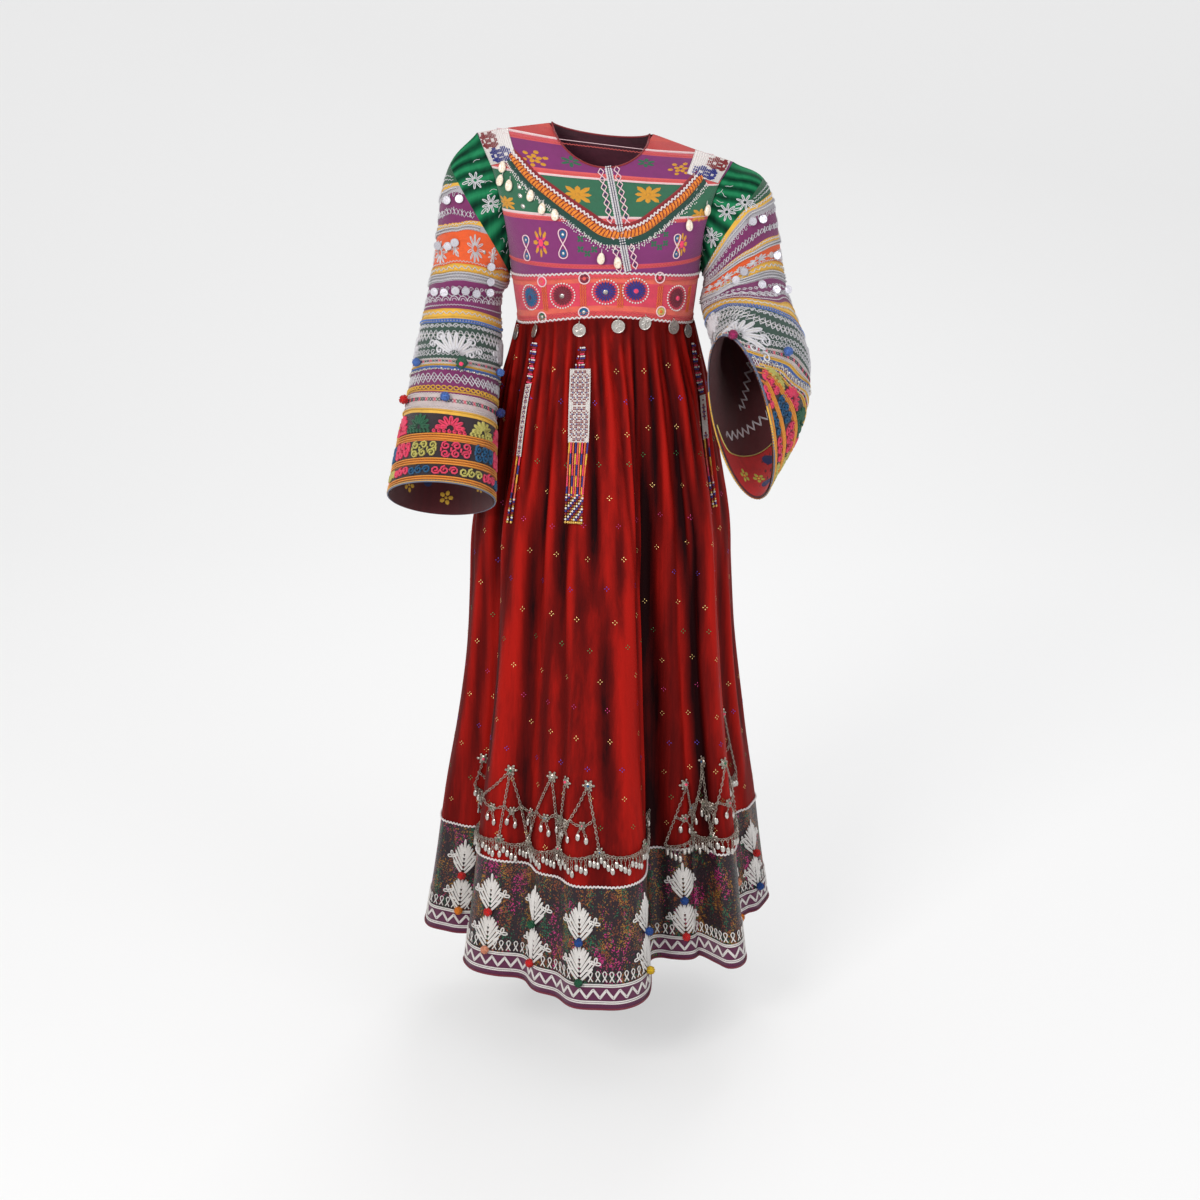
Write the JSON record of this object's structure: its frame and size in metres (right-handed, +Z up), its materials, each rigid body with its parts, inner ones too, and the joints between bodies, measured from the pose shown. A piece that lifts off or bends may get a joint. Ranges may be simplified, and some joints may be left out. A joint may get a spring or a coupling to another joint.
{
  "type": "velvet dress",
  "caption": "Long gathered velvet dress in its worn form, with an embroidered yoke, a beaded waistband, wide banded sleeves and a brocade hem border.",
  "frame": {"origin": "on the middle line at the height of the neck's base, where the wearer's shoulders hold the dress", "axes": "+Z up, -Y to the front of the dress, +X to the wearer's left"},
  "size_m": [0.6325, 0.5623, 1.3247],
  "materials": {
    "velvet": "deep red pile with a soft sheen",
    "yoke": "cross-stitched bands of purple, green and red",
    "waistband": "coral embroidery with beaded rosettes",
    "brocade": "dark brocade with metallic flecks",
    "white_cord": "couched cotton cord",
    "green_velvet": "ribbed green velvet with silver embroidery",
    "sleeve_bands": "many narrow bands of silver and coloured braid",
    "cuff": "orange braid and couched scrolls on black",
    "orange_braid": "coiled cord between rickrack and felt",
    "beadwork": "small glass-like beads",
    "silver_braid": "silver thread",
    "shell": "polished shell",
    "silver": "worn silver-coloured metal",
    "wool": "clipped wool, a colour for each pompom"
  },
  "bodies": {
    "root": {"bodice_front": "yoke", "bodice_back": "yoke", "waistband": "waistband", "skirt": "velvet", "hem_border": "brocade", "soutache_front": "white_cord", "soutache_back": "white_cord", "shoulder_patch_right": "beadwork", "shoulder_patch_left": "beadwork", "chest_braid": "orange_braid", "placket": "silver_braid", "placket_end": "silver_braid", "sleeve_right_cap": "green_velvet", "sleeve_right_bands": "sleeve_bands", "sleeve_right_cuff": "cuff", "sleeve_left_cap": "green_velvet", "sleeve_left_bands": "sleeve_bands", "sleeve_left_cuff": "cuff", "cowrie_1": "shell", "cowrie_2": "shell", "cowrie_3": "shell", "cowrie_4": "shell", "cowrie_5": "shell", "cowrie_6": "shell", "cowrie_7": "shell", "cowrie_8": "shell", "cowrie_9": "shell", "cowrie_10": "shell", "coin_1": "silver", "coin_2": "silver", "coin_3": "silver", "coin_4": "silver", "coin_5": "silver", "coin_6": "silver", "coin_7": "silver", "tassel_right": "beadwork", "tassel_middle": "beadwork", "tassel_left": "beadwork", "chain_fringe_right": "silver", "chain_fringe_left": "silver", "pompom_1": "wool", "pompom_2": "wool", "pompom_3": "wool", "pompom_4": "wool", "pompom_5": "wool", "pompom_6": "wool", "pompom_7": "wool", "pompom_8": "wool"}
  },
  "joints": []
}
